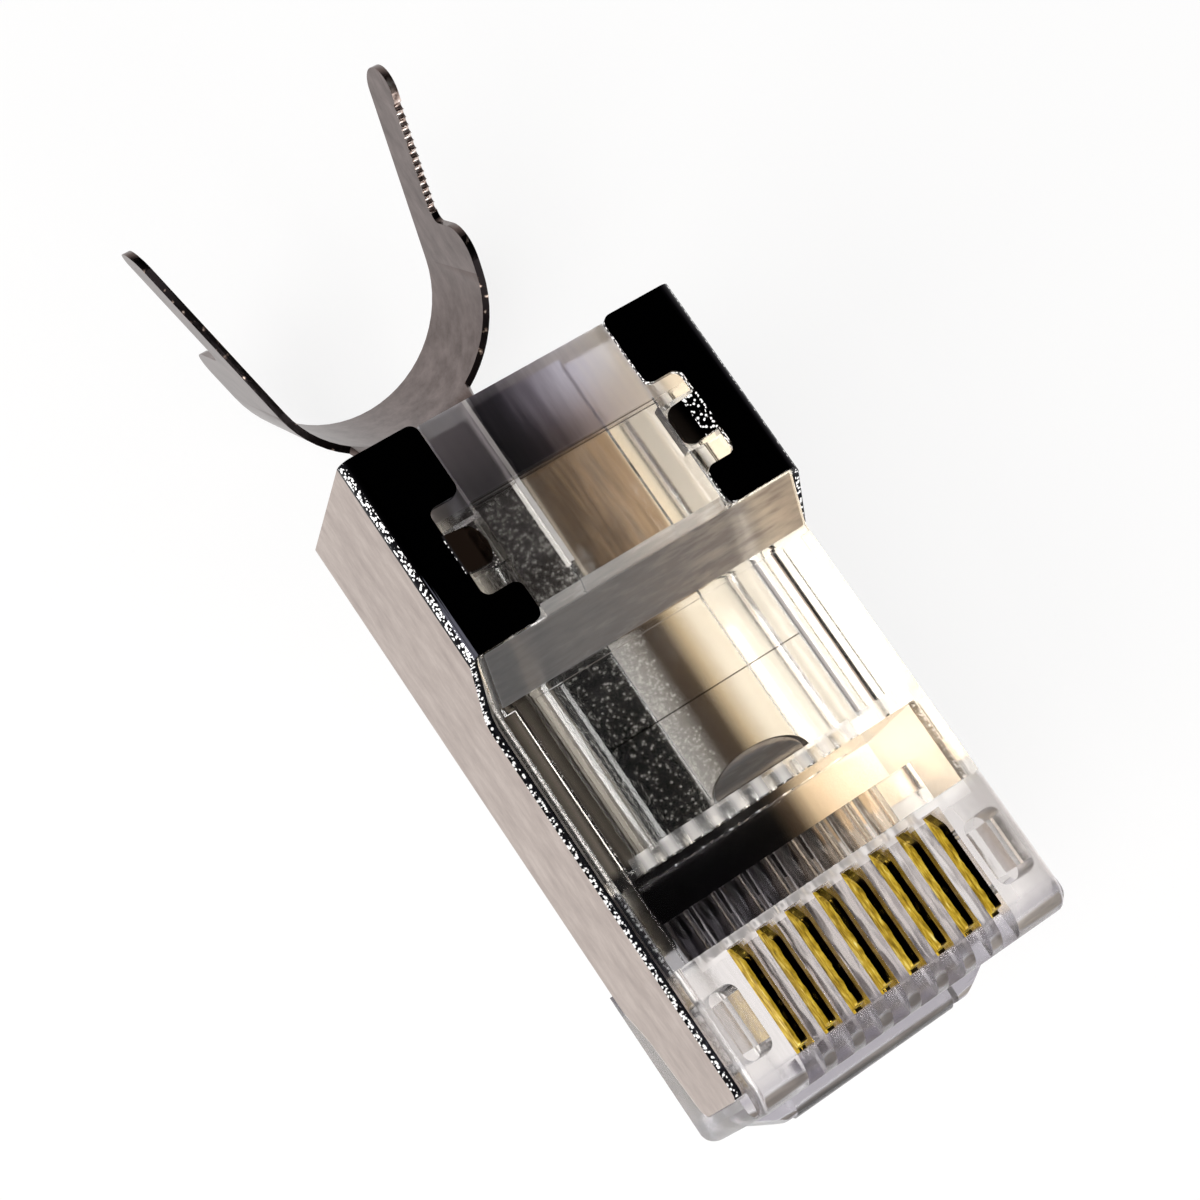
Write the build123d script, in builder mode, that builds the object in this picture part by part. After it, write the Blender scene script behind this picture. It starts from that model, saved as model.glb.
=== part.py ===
"""A shielded eight-position modular plug with a tail clip, contact side up.

The origin lies on the nose's front face, in the middle of the contact row, at the level of
the shield's latch-side face. X runs along the row, Y from the nose back to the cable, and
Z up to the contact side. Lengths are in millimetres and angles in degrees.
"""
import math
import os

from build123d import *

os.makedirs("parts", exist_ok=True)

# Overall sizes
plug_width = 11.7
body_length = 21.6
rear_height = 7.5
front_height = 6.15

# Fits between the pieces
fit_gap = 0.03
hinge_gap = 0.08

# Shoulder between the thick rear section and the low front section
shoulder_foot = 13.4
shoulder_run = 1.4
shoulder_top_round = 0.2
shoulder_foot_round = 0.25

# Nose
nose_top_round = 0.9
nose_bottom_round = 0.25
flange_round = 0.5
flange_lift = 0.2
flange_top_round = 0.64
cheek_reach = 0.66
cheek_width = 1.9
cheek_shoulder = 0.3
cheek_below = 0.5
cheek_above = 0.6

# Contact row
contact_count = 8
contact_pitch = 1.016
contact_thickness = 0.32
contact_front = 0.9
contact_length = 3.45
contact_depth_below_ribs = 0.15
contact_blade_height = 2.3
contact_step_length = 0.18
contact_step_drop = 0.5
contact_step_run = 0.08
contact_front_round = 0.12
contact_rear_round = 0.3
contact_rear_slope = 0.5
prong_length = 0.75
prong_half_width = 0.25
prong_inset = 0.75
slot_side_gap = 0.06
slot_open_gap = 0.24
front_groove_depth = 0.75

# Wire guides and cable cavity
guide_height = 2.2
guide_radius = 0.45
guide_overlap = 0.1
nose_wall = 0.55
cavity_width = 8.6
cavity_front = 7.85
cavity_floor = 0.65
cavity_roof = 0.85
cavity_corner = 1.2
roof_groove_half_width = 1.65
roof_groove_depth = 0.2
roof_groove_setback = 0.3
ramp_foot_setback = 0.35
ramp_top_setback = 0.5
entry_flare = 0.4
rear_face_setback = 0.15

# Recesses of the contact side
window_front = 7.95
window_rear_margin = 0.2
window_depth = 0.15
window_half_width = 4.45
ledge_inset = 0.42
ledge_drop = 0.12
thumbnail_half_width = 1.65
thumbnail_reach = 0.8
thumbnail_depth = 0.5
relief_front = 4.65
relief_length = 2.7
relief_half_width = 5.1
relief_depth = 4.75
relief_step_length = 1.4
relief_step_depth = 2.95
side_pocket_width = 0.95
side_pocket_length = 2.2
side_pocket_depth = 1.3
side_pocket_front = 1.4
side_pocket_wall = 0.3
side_pocket_rib = 0.16
side_pocket_rib_share = 0.7
rail_round = 0.2

# Folded sheet of the shield
sheet = 0.25
bend_radius = 0.42
wall_front = 0.8
wall_top = 5.2
wall_front_bottom = 1.5
wall_step_height = 1.0
wall_step_run = 1.7
wall_flare_run = 0.15
wall_low_round = 0.5
wall_step_round = 1.2
wall_flare_round = 0.5
wall_slope_round = 0.8
wall_high_round = 0.3
plate_front = 5.3
flap_setback = 0.05
flap_inner = 3.3
flap_corner = 0.3
notch_reach = 4.45
notch_width = 0.85
barb_front_share = 0.347
barb_width = 1.3
barb_end = 3.35
barb_dip = 22.0
barb_gap = 0.15

# Tail clip
tail_angle = 52.5
tail_bend = 0.4
neck_width = 4.0
neck_length = 3.35
neck_flare = 0.3
dish_length = 1.2
strip_width = 3.8
clip_radius = 4.15
right_lean = 3.2
left_lean = 18.5
right_tip_height = 10.9
left_tip_height = 9.75
right_tip_width = 1.72
left_tip_width = 1.22
right_step_height = 5.6
left_step_height = 5.1
step_round = 1.1
step_fillet = 0.35
scallop_count = 14
scallop_pitch = 0.27
scallop_radius = 0.13
tip_round_share = 0.98

# Latch lever
lever_axis_y = -0.15
lever_axis_drop = 0.25
lever_root_radius = 0.6
lever_width = 6.1
lever_grip_width = 3.25
lever_length = 14.0
lever_shoulder = 8.6
lever_angle = 17.0
lever_thickness = 0.85
lever_wedge = 0.4
lever_top = 0.12

# Worked-out places
half_width = plug_width / 2
plastic_half_width = half_width - sheet - fit_gap
plastic_bottom = sheet + fit_gap
plastic_rear = body_length - rear_face_setback
shoulder_top = shoulder_foot + shoulder_run
flap_front = shoulder_top + flap_setback
notch_span = barb_width + 2 * notch_width
flap_spare = body_length - flap_front - notch_span
flap_finger = barb_front_share * flap_spare
barb_centre = flap_front + flap_finger + notch_span / 2
flap_round = min(flap_corner, 0.4 * flap_finger)
contact_top = front_height - contact_depth_below_ribs
contact_bottom = contact_top - contact_blade_height
contact_rear = contact_front + contact_length
slot_width = contact_thickness + slot_side_gap + slot_open_gap
slot_offset = (slot_side_gap - slot_open_gap) / 2
row_half = (contact_count - 1) / 2 * contact_pitch
contact_places = [i * contact_pitch - row_half for i in range(contact_count)]
relief_rear = relief_front + relief_length
window_rear = shoulder_foot - window_rear_margin
cavity_bottom = plastic_bottom + cavity_floor
roof_rear = rear_height - cavity_roof
roof_front = front_height - cavity_roof
ramp_foot = shoulder_foot + ramp_foot_setback
ramp_top = shoulder_top + ramp_top_setback
flap_underside = rear_height - sheet
land_half_width = flap_inner - 2 * fit_gap


def closed_outline(corners):
    """Draw a straight-sided closed outline through the given corners."""
    Polyline(*corners, close=True)


def corners_near(sketch, point, reach=0.05):
    """Pick the corner of a sketch that lies at a point given in the sketch's own plane."""
    return [v for v in sketch.vertices() if math.hypot(v.X - point[0], v.Y - point[1]) < reach]


# Side walls of the shield, seen from the side as (Y, Z): the nose end is low and open below,
# the rear end is as tall as the plug
wall_low_corner = (wall_front, wall_front_bottom)
wall_step_top = (plate_front - wall_step_run, wall_step_height)
wall_step_foot = (plate_front, 0)
wall_flare_foot = (flap_front - wall_flare_run, rear_height - bend_radius)
wall_slope_foot = (shoulder_foot, wall_top)
wall_high_corner = (wall_front, wall_top)
wall_outline = [
    wall_low_corner,
    wall_step_top,
    wall_step_foot,
    (body_length, 0),
    (body_length, rear_height),
    (flap_front, rear_height),
    wall_flare_foot,
    wall_slope_foot,
    wall_high_corner,
]
wall_rounds = [
    (wall_low_corner, wall_low_round),
    (wall_step_top, wall_step_round),
    (wall_step_foot, wall_step_round),
    (wall_flare_foot, wall_flare_round),
    (wall_slope_foot, wall_slope_round),
    (wall_high_corner, wall_high_round),
]


def wall_face(grow=0.0):
    """Side wall's outline with its rounded corners, grown by a clearance, in its own (Y, Z) plane."""
    with BuildSketch(Plane.YZ) as outline:
        with BuildLine():
            closed_outline(wall_outline)
        make_face()
        for corner, radius in wall_rounds:
            fillet(corners_near(outline.sketch_local, corner), radius)
        if grow:
            offset(amount=grow)
    return outline.sketch_local


wall_shape = Plane.YZ * wall_face()
wall_clearance = wall_face(fit_gap)

with BuildPart() as nose_flange:
    # Flange ahead of the walls and sills below them, as wide as the shield, drawn from the side
    with BuildSketch(Plane.YZ) as flange:
        flange_top = wall_top + flange_lift
        with BuildLine():
            closed_outline([(0, 0), (plate_front - fit_gap, 0), (plate_front - fit_gap, wall_step_height),
                            (wall_front, flange_top), (0, flange_top)])
        make_face()
        fillet(corners_near(flange.sketch_local, (0, flange_top)), flange_top_round)
        fillet(corners_near(flange.sketch_local, (0, 0)), nose_bottom_round)
        add(wall_clearance, mode=Mode.SUBTRACT)
        with Locations((wall_front + fit_gap, wall_front_bottom + fit_gap)):
            Rectangle(plate_front, flange_top, align=(Align.MIN, Align.MIN), mode=Mode.SUBTRACT)
    extrude(amount=half_width, both=True)
    # Rounded front corners in plan
    with BuildSketch(Plane.XY):
        with Locations((0, body_length / 2)):
            RectangleRounded(plug_width, body_length, flange_round)
    extrude(amount=rear_height, both=True, mode=Mode.INTERSECT)


def cavity_section(y, roof, grow=0.0):
    """Rounded rectangle of the cable cavity at a distance from the nose."""
    height = roof - cavity_bottom
    with BuildSketch(Plane.XZ.offset(-y)) as section:
        with Locations((0, cavity_bottom + height / 2)):
            RectangleRounded(cavity_width + 2 * grow, height + 2 * grow, cavity_corner + grow)
    return section.sketch


flare_start = plastic_rear - entry_flare
low_section = cavity_section(ramp_foot, roof_front)
ramp_end_section = cavity_section(ramp_top, roof_rear)
tall_section = cavity_section(flare_start, roof_rear)
entry_section = cavity_section(plastic_rear, roof_rear, entry_flare)

with BuildPart() as cable_cavity:
    # Low stretch, ramp under the shoulder, tall stretch and the flared entry
    extrude(to_extrude=low_section, amount=ramp_foot - cavity_front)
    loft(sections=[low_section, ramp_end_section], ruled=True)
    extrude(to_extrude=tall_section, amount=flare_start - ramp_top)
    loft(sections=[tall_section, entry_section], ruled=True)
    # Groove along the middle of the roof
    groove_front = cavity_front + roof_groove_setback
    groove_low = roof_front + roof_groove_depth
    groove_high = roof_rear + roof_groove_depth
    with BuildSketch(Plane.YZ):
        with BuildLine():
            closed_outline([(groove_front, cavity_bottom + cavity_corner), (groove_front, groove_low),
                            (ramp_foot, groove_low), (ramp_top, groove_high), (plastic_rear, groove_high),
                            (plastic_rear, cavity_bottom + cavity_corner)])
        make_face()
    extrude(amount=roof_groove_half_width, both=True)

# Thumb scoop in the window's front edge: half an ellipse in plan, deepest at the front
scoop_floor = front_height - window_depth
with BuildSketch(Plane.XY.offset(scoop_floor - 2 * thumbnail_depth)) as scoop_plan:
    with Locations((0, window_front)):
        Ellipse(thumbnail_half_width, thumbnail_reach)
        Rectangle(plug_width, plug_width, align=(Align.CENTER, Align.MAX), mode=Mode.SUBTRACT)
with BuildSketch(Plane.YZ) as scoop_side:
    with BuildLine():
        scoop_rear = window_front + thumbnail_reach
        closed_outline([(window_front, scoop_floor - thumbnail_depth), (window_front, front_height),
                        (scoop_rear, front_height), (scoop_rear, scoop_floor)])
    make_face()
with BuildPart() as thumb_scoop:
    extrude(to_extrude=scoop_plan.sketch, amount=4 * thumbnail_depth)
    extrude(to_extrude=scoop_side.sketch, amount=plug_width, both=True, mode=Mode.INTERSECT)

with BuildPart() as housing:
    # Core between the shield's walls, drawn from the side
    with BuildSketch(Plane.YZ) as core:
        nose_top = (0, front_height)
        nose_bottom = (0, 0)
        core_corners = [
            nose_bottom,
            (plate_front - fit_gap, 0),
            (plate_front - fit_gap, plastic_bottom),
            (plastic_rear, plastic_bottom),
            (plastic_rear, rear_height),
            (shoulder_top, rear_height),
            (shoulder_foot, front_height),
            nose_top,
        ]
        with BuildLine():
            closed_outline(core_corners)
        make_face()
        fillet(corners_near(core.sketch_local, nose_top), nose_top_round)
        fillet(corners_near(core.sketch_local, nose_bottom), nose_bottom_round)
        fillet(corners_near(core.sketch_local, core_corners[5]), shoulder_top_round)
        fillet(corners_near(core.sketch_local, core_corners[6]), shoulder_foot_round)
    extrude(amount=plastic_half_width, both=True)
    top_edges = housing.edges().filter_by(Axis.Y).filter_by(lambda e: abs(e.center().Z - front_height) < 0.01)
    fillet(top_edges, rail_round)
    add(nose_flange.part)

    # Cheeks on each side of the lever's root
    with BuildSketch(Plane.XY.offset(-cheek_below)):
        for side in (-1, 1):
            cheek_inner = side * (lever_width / 2 + hinge_gap)
            with BuildLine():
                closed_outline([(cheek_inner, nose_bottom_round + cheek_above), (cheek_inner, -cheek_reach),
                                (cheek_inner + side * cheek_shoulder, -cheek_reach),
                                (cheek_inner + side * cheek_width, nose_bottom_round),
                                (cheek_inner + side * cheek_width, nose_bottom_round + cheek_above)])
            make_face()
    extrude(amount=cheek_below + cheek_above)
    cheek_fronts = housing.edges().filter_by(Axis.X).filter_by(lambda e: e.center().Y < -cheek_reach + 0.01)
    fillet(cheek_fronts, cheek_shoulder)

    add(cable_cavity.part, mode=Mode.SUBTRACT)

    # Wire guides: one round channel for each wire, from the cavity to the nose
    guide_rear = cavity_front + guide_overlap
    with BuildSketch(Plane.XZ.offset(-guide_rear)):
        with Locations(*[(x, guide_height) for x in contact_places]):
            Circle(guide_radius)
    extrude(amount=guide_rear - nose_wall, mode=Mode.SUBTRACT)

    # Contact slots, open to the guides below and to the nose in front of the blades
    slot_places = [x + slot_offset for x in contact_places]
    with BuildSketch(Plane.XY.offset(guide_height)):
        with Locations(*[(x, contact_front - fit_gap) for x in slot_places]):
            Rectangle(slot_width, contact_length + 2 * fit_gap, align=(Align.CENTER, Align.MIN))
    extrude(amount=front_height, mode=Mode.SUBTRACT)
    with BuildSketch(Plane.XY.offset(front_height - front_groove_depth)):
        with Locations(*[(x, contact_front) for x in slot_places]):
            Rectangle(slot_width, 2 * contact_front, align=(Align.CENTER, Align.MAX))
    extrude(amount=front_height, mode=Mode.SUBTRACT)

    # Ledge along each outer edge of the front section, a little below the middle
    with BuildSketch(Plane.XY.offset(front_height - ledge_drop)):
        for side in (-1, 1):
            with Locations((side * (plastic_half_width - ledge_inset), relief_front)):
                Rectangle(half_width, window_rear - relief_front,
                          align=(Align.MIN if side > 0 else Align.MAX, Align.MIN))
    extrude(amount=2 * ledge_drop, mode=Mode.SUBTRACT)

    # Shallow window between the strain relief pocket and the shoulder
    with BuildSketch(Plane.XY.offset(front_height - window_depth)):
        with Locations((0, window_front)):
            Rectangle(2 * window_half_width, window_rear - window_front, align=(Align.CENTER, Align.MIN))
    extrude(amount=2 * window_depth, mode=Mode.SUBTRACT)
    add(thumb_scoop.part, mode=Mode.SUBTRACT)

    # Strain relief pocket across the wires: deep at the back, above the guides at the front
    with BuildSketch(Plane.YZ):
        relief_floor = front_height - relief_depth
        step_floor = front_height - relief_step_depth
        with BuildLine():
            closed_outline([(relief_front, rear_height), (relief_front, step_floor),
                            (relief_front + relief_step_length, step_floor),
                            (relief_front + relief_step_length, relief_floor),
                            (relief_rear, relief_floor), (relief_rear, rear_height)])
        make_face()
    extrude(amount=relief_half_width, both=True, mode=Mode.SUBTRACT)

    # Pocket on each side of the contact row, with a rib along its middle
    pocket_x = plastic_half_width - side_pocket_wall - side_pocket_width / 2
    with BuildSketch(Plane.XY.offset(front_height - side_pocket_depth)):
        with Locations((pocket_x, side_pocket_front + side_pocket_length / 2),
                       (-pocket_x, side_pocket_front + side_pocket_length / 2)):
            RectangleRounded(side_pocket_width, side_pocket_length, side_pocket_width / 3)
            Rectangle(side_pocket_rib, side_pocket_length * side_pocket_rib_share, mode=Mode.SUBTRACT)
    extrude(amount=2 * side_pocket_depth, mode=Mode.SUBTRACT)

    # Ledges that the flaps lie on, and the hollows that their barbs dip into
    ledge_bottom = flap_underside - fit_gap
    with BuildSketch(Plane.XY.offset(ledge_bottom)):
        for side in (-1, 1):
            with Locations((side * land_half_width, flap_front - fit_gap)):
                Rectangle(half_width, body_length, align=(Align.MIN if side > 0 else Align.MAX, Align.MIN))
    extrude(amount=rear_height, mode=Mode.SUBTRACT)
    # Bevels that clear the inside of the shield's four bends
    bevel = bend_radius - sheet
    for edge_z, inward, front in ((ledge_bottom, -bevel, flap_front), (plastic_bottom, bevel, plate_front)):
        with BuildSketch(Plane.XZ.offset(fit_gap - front)):
            for edge_x, away in ((plastic_half_width, bevel), (-plastic_half_width, -bevel)):
                with BuildLine():
                    closed_outline([(edge_x - away, edge_z), (edge_x, edge_z + inward),
                                    (edge_x + away, edge_z + inward), (edge_x + away, edge_z - inward),
                                    (edge_x - away, edge_z - inward)])
                make_face()
        extrude(amount=-body_length, mode=Mode.SUBTRACT)
    barb_fall = (notch_reach - barb_end) * math.sin(math.radians(barb_dip)) + sheet
    with BuildSketch(Plane.XY.offset(ledge_bottom - barb_fall)):
        for side in (-1, 1):
            with Locations((side * (barb_end + notch_reach) / 2, barb_centre)):
                Rectangle(notch_reach - barb_end + 2 * barb_gap, barb_width + 2 * barb_gap)
    extrude(amount=barb_fall + sheet + fit_gap, mode=Mode.SUBTRACT)

    # Concave seat of the latch lever under the nose
    with BuildSketch(Plane.YZ):
        with Locations((lever_axis_y, -lever_axis_drop)):
            Circle(lever_root_radius + hinge_gap)
    extrude(amount=lever_width / 2 + hinge_gap, both=True, mode=Mode.SUBTRACT)

housing.part.label = "housing"
export_step(housing.part, "parts/housing.step")


def contact_outline():
    """Blade seen from the side as (Y, Z): stepped front, sloping rear, two piercing prongs."""
    step_y = contact_front + contact_step_length
    prongs = []
    for centre in (contact_rear - prong_inset, contact_front + prong_inset):
        prongs += [
            (centre + prong_half_width, contact_bottom),
            (centre, contact_bottom - prong_length),
            (centre - prong_half_width, contact_bottom),
        ]
    return [
        (contact_front, contact_bottom),
        (contact_front, contact_top - contact_step_drop),
        (step_y - contact_step_run, contact_top - contact_step_drop),
        (step_y, contact_top),
        (contact_rear - contact_rear_slope, contact_top),
        (contact_rear, contact_top - contact_rear_slope),
        (contact_rear, contact_bottom),
    ] + prongs


for number, place in enumerate(contact_places, start=1):
    with BuildPart() as contact:
        with BuildSketch(Plane.YZ.offset(place)) as blade:
            outline = contact_outline()
            with BuildLine():
                closed_outline(outline)
            make_face()
            fillet(corners_near(blade.sketch_local, outline[3]), contact_front_round)
            fillet(corners_near(blade.sketch_local, outline[4]), contact_rear_round)
        extrude(amount=contact_thickness / 2, both=True)
    contact.part.label = f"contact_{number}"
    export_step(contact.part, f"parts/contact_{number}.step")

# Directions of the tail: along the strip, and across it towards the wing tips
tail_cos = math.cos(math.radians(tail_angle))
tail_sin = math.sin(math.radians(tail_angle))
bend_mid = tail_bend + sheet / 2
neck_start = Vector(0, body_length + bend_mid * tail_sin, sheet / 2 - bend_mid * (1 - tail_cos))
tail_along = Vector(0, tail_cos, -tail_sin)
tail_rise = Vector(0, tail_sin, tail_cos)
clip_origin = neck_start - tail_rise * (sheet / 2)
side_view = Plane(origin=clip_origin, x_dir=tail_along, z_dir=(1, 0, 0))
strip_end = neck_length + strip_width


def across_tail(distance):
    """Plane square to the tail at a distance from the neck's bend, x along the row, y up the wings."""
    return Plane(origin=clip_origin + tail_along * distance, x_dir=(1, 0, 0), z_dir=tail_along * -1)


def wing_point(radius, lean, side, height):
    """Point of a wing at a height above the strip's bottom, on the face of the given radius."""
    angle = math.radians(lean)
    centre_height = clip_radius + sheet / 2
    foot_x = radius * math.cos(angle)
    foot_height = centre_height - radius * math.sin(angle)
    return (side * (foot_x + (height - foot_height) * math.tan(angle)), height)


def wing_outline(tip_front, tip_rear, tip_height, step_height, step_front, step_rear):
    """Wing seen from the side as (along the tail, height): broad foot, step and narrow round tip."""
    tip_radius = (tip_rear - tip_front) / 2 * tip_round_share
    with BuildSketch(side_view) as outline:
        with Locations(((step_front + step_rear) / 2, -sheet)):
            Rectangle(step_rear - step_front, step_height + sheet, align=(Align.CENTER, Align.MIN))
        with Locations(((tip_front + tip_rear) / 2, -sheet)):
            Rectangle(tip_rear - tip_front, tip_height + sheet, align=(Align.CENTER, Align.MIN))
        tip_corners = outline.sketch_local.vertices().group_by(Axis.Y)[-1]
        fillet(tip_corners, tip_radius)
        narrow_x = tip_front if tip_front > step_front else tip_rear
        broad_x = step_front if tip_front > step_front else step_rear
        fillet(corners_near(outline.sketch_local, (broad_x, step_height)), step_round)
        fillet(corners_near(outline.sketch_local, (narrow_x, step_height)), step_fillet)
    return outline.sketch


right_wing = wing_outline(strip_end - right_tip_width, strip_end, right_tip_height,
                          right_step_height, neck_length, strip_end)
left_wing = wing_outline(neck_length, neck_length + left_tip_width, left_tip_height,
                         left_step_height, neck_length, strip_end)
with BuildPart() as wings:
    extrude(to_extrude=right_wing, amount=2 * plug_width, dir=(1, 0, 0))
    extrude(to_extrude=left_wing, amount=2 * plug_width, dir=(-1, 0, 0))

with BuildPart() as clip:
    inner_radius = clip_radius - sheet / 2
    outer_radius = clip_radius + sheet / 2
    centre = (0, clip_radius + sheet / 2)
    reach = max(right_tip_height, left_tip_height) + sheet
    arc_start = 180 + left_lean
    arc_size = 180 - left_lean - right_lean
    with BuildSketch(across_tail(strip_end)):
        with BuildLine():
            outer = CenterArc(centre, outer_radius, arc_start, arc_size)
            inner = CenterArc(centre, inner_radius, arc_start, arc_size)
            left_outer = wing_point(outer_radius, left_lean, -1, reach)
            left_inner = wing_point(inner_radius, left_lean, -1, reach)
            right_outer = wing_point(outer_radius, right_lean, 1, reach)
            right_inner = wing_point(inner_radius, right_lean, 1, reach)
            Polyline(outer @ 0, left_outer, left_inner, inner @ 0)
            Polyline(outer @ 1, right_outer, right_inner, inner @ 1)
        make_face()
    extrude(amount=strip_width)
    add(wings.part, mode=Mode.INTERSECT)

    # Gripping teeth: half-round scallops along the front edge of the right tip
    teeth_foot = right_step_height + step_fillet + scallop_radius
    teeth = [(strip_end - right_tip_width, teeth_foot + i * scallop_pitch) for i in range(scallop_count)]
    with BuildSketch(side_view):
        with Locations(*teeth):
            Circle(scallop_radius)
    extrude(amount=plug_width, mode=Mode.SUBTRACT)

# Flat end of the neck, and the dished section where it meets the strip
dish_start = neck_length - dish_length
dish_half_angle = math.degrees(math.asin((neck_width / 2 + neck_flare) / clip_radius))
with BuildSketch(across_tail(dish_start)) as neck_end_sketch:
    Rectangle(neck_width, sheet, align=(Align.CENTER, Align.MIN))
with BuildSketch(across_tail(neck_length)) as dished_sketch:
    with BuildLine():
        dish_centre = (0, clip_radius + sheet / 2)
        dish_from = 270 - dish_half_angle
        dish_outer = CenterArc(dish_centre, clip_radius + sheet / 2, dish_from, 2 * dish_half_angle)
        dish_inner = CenterArc(dish_centre, clip_radius - sheet / 2, dish_from, 2 * dish_half_angle)
        Line(dish_outer @ 0, dish_inner @ 0)
        Line(dish_outer @ 1, dish_inner @ 1)
    make_face()
neck_end = neck_end_sketch.sketch
dished_end = dished_sketch.sketch

with BuildPart() as wall_trim:
    extrude(to_extrude=wall_shape, amount=plug_width, both=True)

with BuildPart() as shield:
    # Folded tube of sheet, trimmed to the wall's outline
    with BuildSketch(Plane.XZ.offset(-wall_front)):
        with Locations((0, rear_height / 2)):
            RectangleRounded(plug_width, rear_height, bend_radius)
            RectangleRounded(plug_width - 2 * sheet, rear_height - 2 * sheet, bend_radius - sheet,
                             mode=Mode.SUBTRACT)
    extrude(amount=wall_front - body_length)
    add(wall_trim.part, mode=Mode.INTERSECT)

    # Front edge of the latch-side plate between the walls
    with BuildSketch(Plane.XY.offset(-sheet)):
        Rectangle(plug_width - 2 * sheet, plate_front, align=(Align.CENTER, Align.MIN))
    extrude(amount=2 * sheet + wall_step_height, mode=Mode.SUBTRACT)

    # Opening between the flaps, with the notches on each side of every barb
    with BuildSketch(Plane.XY.offset(flap_underside - bend_radius)) as opening:
        with Locations((0, wall_front)):
            Rectangle(2 * flap_inner, 2 * body_length, align=(Align.CENTER, Align.MIN))
        with Locations((0, barb_centre)):
            RectangleRounded(2 * notch_reach, notch_span, notch_width / 3)
        with Locations((0, wall_front)):
            Rectangle(2 * half_width - 2 * sheet, flap_front - wall_front, align=(Align.CENTER, Align.MIN))
        for side in (-1, 1):
            for corner_y in (flap_front, barb_centre - notch_span / 2, barb_centre + notch_span / 2):
                fillet(corners_near(opening.sketch_local, (side * flap_inner, corner_y)), flap_round)
    extrude(amount=2 * rear_height, mode=Mode.SUBTRACT)
    flap_rear_corners = [
        e for e in shield.edges().filter_by(Axis.Z)
        if abs(abs(e.center().X) - flap_inner) < 0.001
        and abs(e.center().Y - body_length) < 0.001
    ]
    fillet(flap_rear_corners, flap_round)

    # Barbs, bent down from the flaps
    for side in (-1, 1):
        dip = math.radians(barb_dip)
        barb_plane = Plane(
            origin=(side * notch_reach, barb_centre, rear_height - sheet / 2),
            x_dir=(-side * math.cos(dip), 0, -math.sin(dip)),
            z_dir=(-side * math.sin(dip), 0, math.cos(dip)),
        )
        barb_length = (notch_reach - barb_end) / math.cos(dip)
        with BuildSketch(barb_plane):
            barb_straight = barb_length - barb_width / 3
            with Locations((-sheet / 2, 0)):
                Rectangle(barb_straight + sheet / 2, barb_width, align=(Align.MIN, Align.CENTER))
            with Locations((barb_straight, 0)):
                Ellipse(barb_width / 3, barb_width / 2)
        extrude(amount=sheet / 2, both=True)

    # Neck of the tail: bent down from the plate, then dished into the strip
    with BuildSketch(Plane.YZ):
        with BuildLine():
            start_y = body_length - sheet
            Line((start_y, sheet), (body_length, sheet))
            top_bend = CenterArc((body_length, -tail_bend), tail_bend + sheet, 90, -tail_angle)
            end_top = top_bend @ 1
            far_top = (end_top.X + dish_start * tail_cos, end_top.Y - dish_start * tail_sin)
            far_low = (far_top[0] - sheet * tail_sin, far_top[1] - sheet * tail_cos)
            low_bend = CenterArc((body_length, -tail_bend), tail_bend, 90, -tail_angle)
            Polyline(end_top, far_top, far_low, low_bend @ 1)
            Polyline((body_length, 0), (start_y, 0), (start_y, sheet))
        make_face()
    extrude(amount=neck_width / 2, both=True)
    loft(sections=[neck_end, dished_end], ruled=True)
    add(clip.part)

shield.part.label = "shield"
export_step(shield.part, "parts/shield.step")

# Latch lever: its own plane has x along the arm from the hinge axis, y up to the body
arm_angle = math.radians(lever_angle)
arm_plane = Plane(
    origin=(0, lever_axis_y, -lever_axis_drop),
    x_dir=(0, math.cos(arm_angle), -math.sin(arm_angle)),
    z_dir=(1, 0, 0),
)
with BuildPart() as latch_lever:
    with BuildSketch(arm_plane):
        with BuildLine():
            closed_outline([
                (0, lever_top), (lever_length, lever_top), (lever_length, lever_top - lever_thickness),
                (lever_shoulder, lever_top - lever_thickness),
                (lever_shoulder, lever_top - lever_thickness - lever_wedge),
                (0, -lever_root_radius),
            ])
        make_face()
        Circle(lever_root_radius)
    extrude(amount=lever_width / 2, both=True)
    with BuildSketch(Plane.XY):
        broad_end = lever_axis_y + lever_shoulder
        with Locations((0, broad_end)):
            Rectangle(lever_width, 2 * lever_length, align=(Align.CENTER, Align.MAX))
        Rectangle(lever_grip_width, 2 * lever_length, align=(Align.CENTER, Align.MIN))
    extrude(amount=plug_width, both=True, mode=Mode.INTERSECT)
    tip_corners = latch_lever.edges().filter_by(Axis((0, 0, 0), arm_plane.y_dir)).group_by(Axis.Y)[-1]
    fillet(tip_corners, lever_grip_width / 4)

latch_lever.part.label = "latch_lever"
export_step(latch_lever.part, "parts/latch_lever.step")
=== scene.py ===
# %% [markdown]
# # A shielded modular plug, dressed in Blender
#
# The plug is a clear moulded body with eight gold blades, wrapped in a folded metal shield
# whose tail ends in a clip for the cable. Its solids come from the CAD model and stay where
# they are. This lesson gives them finishes, with much of their light, shade and reflection
# painted in, and rounds their edges.
#
# Places are in millimetres of the plug's own frame: X runs along the row of blades, Y back
# to the cable and Z up to the side with the contacts.

# %% Load the frame
import math

import bpy
import numpy as np
from mathutils import Matrix, Vector


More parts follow.
